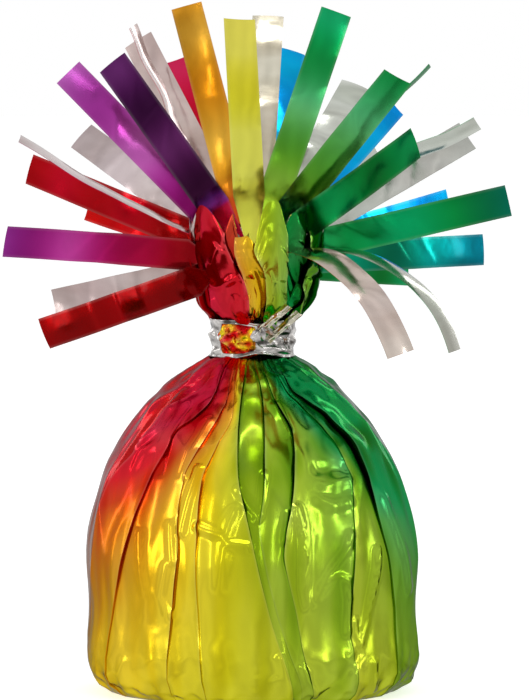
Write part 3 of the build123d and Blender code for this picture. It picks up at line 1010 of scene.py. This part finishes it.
def free_strip(place, look, seed, run, side):
    """Points of the free length, in mm, by distance from the root and from the middle line."""
    share = run / place.length
    if abs(place.curl) > DROOP:
        side = side * (1 - ROOT_PINCH * np.exp(-((run / PINCH_REACH) ** 2)))
    bend = place.curl * share
    bow = place.length / place.curl
    loose = np.clip(run / LOOSE_AFTER, 0, 1)
    height = look.ripple * (1 if look.printed_in_front else SILVER_RIPPLE)
    ripple = height * np.sin(run / (2.6 + 0.9 * math.sin(seed)) + 2.1 * seed) * loose
    hollow = CUP_DEPTH * math.copysign(1, math.sin(seed * 1.3))
    cup = hollow * ((2 * side / place.width) ** 2 - 0.4) * loose
    turn = math.radians(look.twist) * math.sin(2.7 * seed) * share
    kink_middle = place.length * (0.5 + 0.15 * math.sin(3.7 * seed)) + side * 0.8 * math.sin(4.3 * seed)
    kink = KINK_SLOPE * math.cos(2.9 * seed) * np.clip(KINK_REACH - np.abs(run - kink_middle), 0, None)
    flat = place.root + np.outer(run, place.along) + np.outer(side, place.across)
    crush = ROOT_CRUSH * np.exp(-((run / CRUSH_REACH) ** 2)) * np.clip(run / 2, 0, 1)
    crush *= facets(flat + 3.0 * seed, CRUSH_SIZE)
    lift = ripple + cup + kink + crush + side * np.sin(turn)
    out_of_face = np.outer(np.cos(bend), place.face) - np.outer(np.sin(bend), place.along)
    middle = np.outer(bow * np.sin(bend), place.along) + np.outer(bow * (1 - np.cos(bend)), place.face)
    return place.root + middle + np.outer(side * np.cos(turn), place.across) + out_of_face * lift[:, None]


print("a kink lifts the strip by up to", round(KINK_SLOPE * KINK_REACH, 2), "mm")

# %% [markdown]
# Every strip starts inside the bud, the upright ones deeper. Its foot narrows and comes forward to the
# petals that it was slit from, and there its ink may be another one.

# %% Foot of a strip
FOOT_DEPTH = (3.0, 9.0)
FOOT_FORWARD = (0.3, 3.2)
FOOT_TAPER = 0.6
STEEPNESS = (0.3, 0.8)


def strip_foot(place, back, side):
    """Points inside the bud, in mm, by the share of the way back from the root and the width."""
    inside = np.interp(place.along[2], STEEPNESS, FOOT_DEPTH) * back
    forward = np.interp(place.along[2], STEEPNESS, FOOT_FORWARD) * back ** 2
    narrow = (1 - FOOT_TAPER * back) * (1 - ROOT_PINCH if abs(place.curl) > DROOP else 1)
    lengthwise = np.outer(forward, place.face) - np.outer(inside, place.along)
    return place.root + lengthwise + np.outer(side * narrow, place.across)


print("feet reach", FOOT_DEPTH[0], "to", FOOT_DEPTH[1], "mm into the bud")

# %% [markdown]
# Solidify gives each strip its thickness and puts the printed film on one side and the silver on the
# other.

# %% Make the strips
STRIP_ROWS = 44
ROOT_ROWS = 12
STRIP_COLUMNS = 10
FILM_THICKNESS = 0.08
STRIP_CREASE_ANGLE = math.radians(25)
SLIT_START = 139.0
STRIP_WEAR = 0.06
MOST_PAINTED_LIGHT, MOST_PAINTED_SHADE = -0.4, 2.0


def make_strip(name, place, look, seed):
    strip, column, row = add_sheet(name + "_film", STRIP_COLUMNS, STRIP_ROWS + ROOT_ROWS)
    across = column / STRIP_COLUMNS - 0.5
    run = np.clip((row - ROOT_ROWS) / STRIP_ROWS, 0, 1) * place.length
    back = np.clip(1 - row / ROOT_ROWS, 0, 1)
    side = across * place.width
    free = free_strip(place, look, seed, run, side)
    points = np.where((back > 0)[:, None], strip_foot(place, back, side), free)
    ink_bud = look.ink_bud or look.ink_root
    inks = [ink_bud, ink_bud, look.ink_root, look.ink_tip]
    ink = np.interp(run / place.length - back, [-1, -0.1, 0.1, 1], inks)
    # Painted shade from root to tip, and painted reflection bands along the strip.
    depth = np.interp(run / place.length, [0, 0.45, 1], [look.painted_shade_root, look.painted_shade_tip, look.painted_shade_tip])
    depth += 0.25 * np.sin(run / (4 + math.sin(5.1 * seed)) + 3 * seed) * np.clip(run / 6, 0, 1)
    wear = STRIP_WEAR * (np.abs(across) > 0.49)
    along = SLIT_START + run - FOOT_DEPTH[1] * back
    shape_sheet(strip, points, ink, along, wear, np.clip(depth, MOST_PAINTED_LIGHT, MOST_PAINTED_SHADE))
    halfway = Vector(points[(row == ROOT_ROWS + STRIP_ROWS // 2) & (across == 0)][0] * MM)
    middle_face = min(strip.data.polygons, key=lambda face: (face.center - halfway).length)
    faces_front = middle_face.normal.dot(Vector(place.face)) > 0
    bpy.ops.object.mode_set(mode="EDIT")
    bpy.ops.mesh.select_all(action="SELECT")
    if faces_front != look.printed_in_front:
        bpy.ops.mesh.flip_normals()
    bpy.ops.object.mode_set(mode="OBJECT")
    strip.data.materials.append(printed_film)
    strip.data.materials.append(silver_film)
    thicken(strip, FILM_THICKNESS, material_step=1)
    bpy.ops.object.shade_smooth_by_angle(angle=STRIP_CREASE_ANGLE)
    return strip


for seed, (node, place) in enumerate(places.items()):
    strip = make_strip(node, place, STRIP_LOOKS[node.removeprefix("fringe_")], seed)
    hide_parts(node)
    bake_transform(strip)
print("strips made:", len(places), "with", len(strip.data.polygons), "faces each")

# %% [markdown]
# The twist tie is a narrow silver film with a wire inside. Round the neck it is a crumpled band. To
# the left of the twist its middle is pushed in and its two edges stay as thin strands, so the bunched
# film of the neck shows between them like a window; to the right it is crushed into level folds.

# %% Tie band
BAND_COLUMNS = 260
BAND_ROWS = 30
TWIST_ANGLE = 8.0
WINDOW_DEPTH = 2.6
BAND_THICKNESS = 0.12
band_low, band_high = (np.array(corner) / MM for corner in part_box("tie_band"))
band_radius = (band_high[0] - band_low[0]) / 2

band, column, row = add_sheet("tie_band_film", BAND_COLUMNS, BAND_ROWS)
angle = column / BAND_COLUMNS * 360 - 180
share = row / BAND_ROWS
away = angle - TWIST_ANGLE
low = np.interp(away, [-30, -5, 8, 40], [0, 0.12, 0.12, 0])
high = np.interp(away, [-30, -5, 8, 40], [1.0, 0.92, 0.9, 1.0])
height = band_low[2] + (low + (high - low) * share) * (band_high[2] - band_low[2])
turn = np.radians(angle)
spot = round_places(band_radius, turn, height)
window = np.interp(away, [-58, -50, -9, -4], [0, 1, 1, 0])
window *= np.interp(share, [0.1, 0.2, 0.8, 0.9], [0, 1, 1, 0])
streaks = soft_noise(spot * (0.3, 0.3, 1.0) + 7.0, 1.5)
dents = facets(spot * (0.5, 0.5, 1.0), 2.6)
rim = np.interp(share, [0, 0.06, 0.94, 1], [0.25, 0.0, 0.0, 0.2])
stand = 0.6 * np.exp(-((angle - 56) / 5) ** 2) + 0.6 * np.exp(-(away / 12) ** 2)
radius = band_radius + 0.1 + 0.8 * streaks + 0.8 * dents + rim + stand - WINDOW_DEPTH * window
points = round_places(radius, turn, height)
shape_sheet(band, points, column * 0.2, row * 0.3, np.zeros(len(row)))
close_sheet(band, 40)
band.data.materials.append(tie_film)
thicken(band, BAND_THICKNESS)
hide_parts("tie_band")
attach(band, "wrapped_weight")
print("tie band:", len(band.data.polygons), "faces")

# %% [markdown]
# Through the window in the tie, left of its twist, the bunched film of the neck pushes out. It is
# crushed so small that every colour of the sheet lies beside every other, so it gets a finer sheet of
# its own whose place in the rainbow changes from dent to dent.

# %% Bunched film at the neck
BUNCH_COLUMNS = 96
BUNCH_ROWS = 56
BUNCH_ANGLES = (-64.0, 8.0)
BUNCH_RADIUS = 8.6

bunch, column, row = add_sheet("neck_bunch_film", BUNCH_COLUMNS, BUNCH_ROWS)
share_a, share_z = column / BUNCH_COLUMNS, row / BUNCH_ROWS
turn = np.radians(BUNCH_ANGLES[0] + share_a * (BUNCH_ANGLES[1] - BUNCH_ANGLES[0]))
height = TIE_BOTTOM + 0.3 + share_z * (TIE_TOP - TIE_BOTTOM - 0.6)
spot = round_places(BUNCH_RADIUS, turn, height)
bulge = np.sin(math.pi * share_a) ** 0.4 * np.sin(math.pi * share_z) ** 0.4
radius = BUNCH_RADIUS - 1.2 + bulge * (1.2 + 1.1 * facets(spot, 1.9) + 0.4 * soft_noise(spot, 0.9))
points = round_places(radius, turn, height)
ink = -58 + 70 * soft_noise(spot * (1, 1, 1.4) + 11.0, 1.8)
depth = np.clip(0.4 + 1.6 * soft_noise(spot + 31.0, 1.3), 0, 1.5)
shape_sheet(bunch, points, ink, height, 0.15 * np.clip(radius - BUNCH_RADIUS, 0, 1), depth)
bpy.ops.object.shade_smooth_by_angle(angle=math.radians(30))
bunch.data.materials.append(printed_film)
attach(bunch, "wrapped_weight")
print("bunched film at the neck:", len(bunch.data.polygons), "faces")

# %% [markdown]
# In front the two halves of the tie are twisted together. The twist is a folded ribbon turned about
# its own line, from the band to the roots of the two free ends, which the joints give.

# %% Twist
TWIST_COLUMNS, TWIST_ROWS = 28, 40
TWIST_TURNS = 1.1
TWIST_WIDTH, TWIST_DEPTH = 1.7, 0.75
end_joints = {joint["child"]: joint for joint in frame["joints"] if joint["child"].startswith("tie_end")}
twist_end = np.mean([joint["pos_m"] for joint in end_joints.values()], axis=0) / MM
twist_start = np.array([
    math.radians(TWIST_ANGLE) * band_radius, 0.2 - band_radius, (band_low[2] + band_high[2]) / 2])

twist, column, row = add_sheet("tie_twist_film", TWIST_COLUMNS, TWIST_ROWS)
share = row / TWIST_ROWS
around = column / TWIST_COLUMNS * 2 * math.pi
line = (twist_end - twist_start) / np.linalg.norm(twist_end - twist_start)
side = np.cross(line, [0, 0, 1.0])
side /= np.linalg.norm(side)
up = np.cross(side, line)
girth = np.interp(share, [0, 0.02, 0.2, 0.8, 0.98, 1], [0, 1.0, 1.2, 1.0, 0.9, 0])
wide = TWIST_WIDTH * girth * np.cos(around) * (1 + 0.15 * np.sin(3 * around))
thin = TWIST_DEPTH * girth * np.sin(around)
spin = 2 * math.pi * TWIST_TURNS * share
offset = np.outer(wide * np.cos(spin) - thin * np.sin(spin), side)
offset += np.outer(wide * np.sin(spin) + thin * np.cos(spin), up)
reach = np.linalg.norm(twist_end - twist_start) + 0.6
points = twist_start + np.outer(share * reach, line) + offset
points += 0.22 * facets(points, 1.1)[:, None] * offset
shape_sheet(twist, points, column * 0.2, row * 0.2, np.zeros(len(row)))
close_sheet(twist, 35)
twist.data.materials.append(tie_film)
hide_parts("tie_twist")
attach(twist, "wrapped_weight")
print("twist:", len(twist.data.polygons), "faces")

# %% [markdown]
# The ends of the tie stick out up to the right. Each is a flat film with the wire's ridge along its
# middle, fluted along its length and kinked where fingers bent it, and cut off at a slant.

# %% Free ends of the tie
END_COLUMNS, END_ROWS = 24, 36
END_INSIDE = 1.2
END_THICKNESS = 0.1


def make_tie_end(name, joint, seed):
    """Free end of the tie along its CAD bar: fluted along its length and kinked twice."""
    root, axis = np.array(joint["pos_m"]) / MM, np.array(joint["axis"])
    bar = mesh_points(frame["nodes"][name].data) / MM - root
    reach = np.linalg.norm(bar, axis=1)
    along = bar[reach > reach.max() - 0.4].mean(0)
    along -= axis * (along @ axis)
    length = np.linalg.norm(along) + 0.2
    along /= np.linalg.norm(along)
    face = np.cross(axis, along)
    width = np.ptp(bar @ axis)
    end, column, row = add_sheet(name + "_film", END_COLUMNS, END_ROWS)
    share = row / END_ROWS
    run = -END_INSIDE + (length + END_INSIDE) * share
    side = (column / END_COLUMNS - 0.5) * width * np.interp(share, [0, 0.3, 1], [0.75, 0.6, 0.7])
    spot = np.column_stack([run * 0.5, side * 1.4, np.full(len(row), 9.0 * seed)])
    wire = 0.35 * np.exp(-(side / 0.35) ** 2)
    flutes = 0.6 * soft_noise(spot, 0.8) + side * np.sin(1.2 * share + seed)
    kinks = 0.25 * np.abs(np.interp(share, [0, 0.35, 0.7, 1], [-0.5, 0.8, -0.6, 0.5]))
    slant = 0.5 * side * np.clip((share - 0.9) * 10, 0, 1)
    points = root + np.outer(run + slant, along) + np.outer(side, axis)
    points += np.outer(wire + flutes + kinks, face)
    shape_sheet(end, points, column * 0.2, row * 0.2, np.zeros(len(row)))
    end.data.materials.append(silver_film)
    thicken(end, END_THICKNESS)
    bpy.ops.object.shade_smooth_by_angle(angle=math.radians(35))
    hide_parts(name)
    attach(end, name)


for seed, (name, joint) in enumerate(end_joints.items()):
    make_tie_end(name, joint, seed)
print("tie ends made:", len(end_joints))

# %% [markdown]
# Mirror film has no colour of its own to light: it shows what stands round it. So the object stands
# in a white tent with soft grey panels, as shiny things are photographed. Only mirrors see the tent.

# %% Tent
TENT_RADIUS = 1.4
TENT_TONES = [
    (0.00, 0.70), (0.035, 0.95), (0.07, 0.75), (0.10, 0.97), (0.135, 0.68), (0.165, 0.94),
    (0.20, 0.76), (0.23, 0.95), (0.255, 0.70), (0.285, 0.94), (0.315, 0.66), (0.35, 0.96),
    (0.385, 0.72), (0.42, 1.00), (0.455, 0.68), (0.49, 0.92), (0.525, 0.55), (0.565, 0.92),
    (0.60, 0.72), (0.64, 0.96), (0.68, 0.78), (0.72, 0.92), (0.76, 0.66), (0.80, 0.92),
    (0.84, 0.74), (0.88, 0.96), (0.92, 0.72), (0.96, 0.92), (1.00, 0.70),
]


def tent_tone(material):
    """Grey of the tent by direction; 0.25 is the front, 0.5 the right, 0.75 the back."""
    place = add_node(material, "ShaderNodeTexCoord").outputs["Object"]
    around = add_node(material, "ShaderNodeTexGradient", {"Vector": place}, gradient_type="RADIAL")
    stops = [(turn, (tone, tone, tone, 1.0)) for turn, tone in TENT_TONES]
    grey = add_node(material, "ShaderNodeValToRGB", {"Fac": around.outputs["Fac"]}, stops=stops)
    return grey.outputs["Color"]


bpy.ops.object.select_all(action="DESELECT")
bpy.ops.mesh.primitive_uv_sphere_add(segments=64, ring_count=32, radius=TENT_RADIUS)
tent = bpy.context.object
tent.name = "studio_tent"
tent_cloth, shader = start_material("tent_cloth", {
    "Base Color": (0, 0, 0, 1), "Specular IOR Level": 0.0, "Emission Strength": 1.0})
link(tent_cloth, tent_tone(tent_cloth), shader.inputs["Emission Color"])
tent.data.materials.append(tent_cloth)
tent.visible_camera = tent.visible_diffuse = tent.visible_shadow = False
print("tent panels:", len(TENT_TONES) - 1)

# %% [markdown]
# The camera sees a pale floor that keeps the shadow, and a white background. In mirrors the tent's
# panels run on across the floor. Light that reaches nothing comes from a white world.

# %% Floor and world
FLOOR_GLOW = 0.62
FLOOR_MIRRORED = 0.95
WORLD_LIGHT = 0.4

bpy.ops.object.select_all(action="DESELECT")
bpy.ops.mesh.primitive_plane_add(size=6.0, location=(0, 0, 0))
floor = bpy.context.object
floor.name = "studio_floor"
floor_paint, shader = start_material("pale_floor", {
    "Base Color": colour("#f4f4f4"), "Roughness": 0.9, "Emission Color": (1, 1, 1, 1)})
paths = add_node(floor_paint, "ShaderNodeLightPath").outputs
glow = add_node(floor_paint, "ShaderNodeMath", {
    0: paths["Is Camera Ray"], 1: FLOOR_GLOW}, operation="MULTIPLY")
link(floor_paint, glow.outputs[0], shader.inputs["Emission Strength"])
mirrored = add_node(floor_paint, "ShaderNodeEmission", {
    "Color": tent_tone(floor_paint), "Strength": FLOOR_MIRRORED})
surface = add_node(floor_paint, "ShaderNodeMixShader", {
    0: paths["Is Glossy Ray"], 1: shader.outputs["BSDF"], 2: mirrored.outputs["Emission"]})
link(floor_paint, surface.outputs["Shader"], floor_paint.node_tree.nodes["Material Output"].inputs["Surface"])
floor.data.materials.append(floor_paint)

world = bpy.data.worlds.new("white_studio")
bpy.context.scene.world = world
world.use_nodes = True
paths = add_node(world, "ShaderNodeLightPath").outputs
seen = paths["Is Camera Ray"]
for kind in ("Is Glossy Ray", "Is Transmission Ray"):
    seen = add_node(world, "ShaderNodeMath", {0: seen, 1: paths[kind]}, operation="MAXIMUM").outputs[0]
strength = add_node(world, "ShaderNodeMapRange", {"Value": seen, "To Min": WORLD_LIGHT, "To Max": 1.0})
background = world.node_tree.nodes["Background"]
background.inputs["Color"].default_value = (1, 1, 1, 1)
link(world, strength.outputs["Result"], background.inputs["Strength"])
print("floor and world ready")

# %% [markdown]
# Narrow lamps in the tent draw the highlights. They stand upright and low, so that each curved panel of
# the film shows one as a bright line, as the photograph does. The two behind light the back.

# %% Lamps
STUDIO_MIDDLE = Vector((0, 0, 0.06))


def add_lamp(name, azimuth, elevation, distance, size, power):
    """Soft lamp aimed at the object; azimuth 0 is the front, plus is right, in degrees."""
    turn, tilt = math.radians(azimuth), math.radians(elevation)
    way = Vector((math.sin(turn) * math.cos(tilt), -math.cos(turn) * math.cos(tilt), math.sin(tilt)))
    bpy.ops.object.light_add(type="AREA", location=STUDIO_MIDDLE + way * distance,
                             rotation=way.to_track_quat("Z", "Y").to_euler())
    lamp = bpy.context.object
    lamp.name = name
    lamp.data.shape = "ELLIPSE"
    lamp.data.size, lamp.data.size_y = size
    lamp.data.energy = power


LAMPS = [
    ("softbox_left", -76, 10, 1.0, (0.15, 0.7), 0.75),
    ("strip_far_left", -118, 14, 1.0, (0.08, 0.6), 0.3),
    ("strip_left", -34, 8, 1.0, (0.05, 0.5), 0.36),
    ("strip_front", 9, 12, 1.0, (0.03, 0.4), 0.22),
    ("strip_right", 64, 8, 1.0, (0.07, 0.5), 0.48),
    ("softbox_right", 84, 10, 1.0, (0.15, 0.7), 0.7),
    ("softbox_top", 10, 70, 1.0, (0.5, 0.16), 0.9),
    ("softbox_back_left", -150, 20, 1.0, (0.12, 0.6), 0.6),
    ("softbox_back_right", 150, 20, 1.0, (0.12, 0.6), 0.6),
]
for lamp in LAMPS:
    add_lamp(*lamp)
print("lamps:", len(LAMPS))

# %% [markdown]
# Last, colours are shown plainly.

# %% Finish
bpy.context.scene.view_settings.view_transform = "Standard"
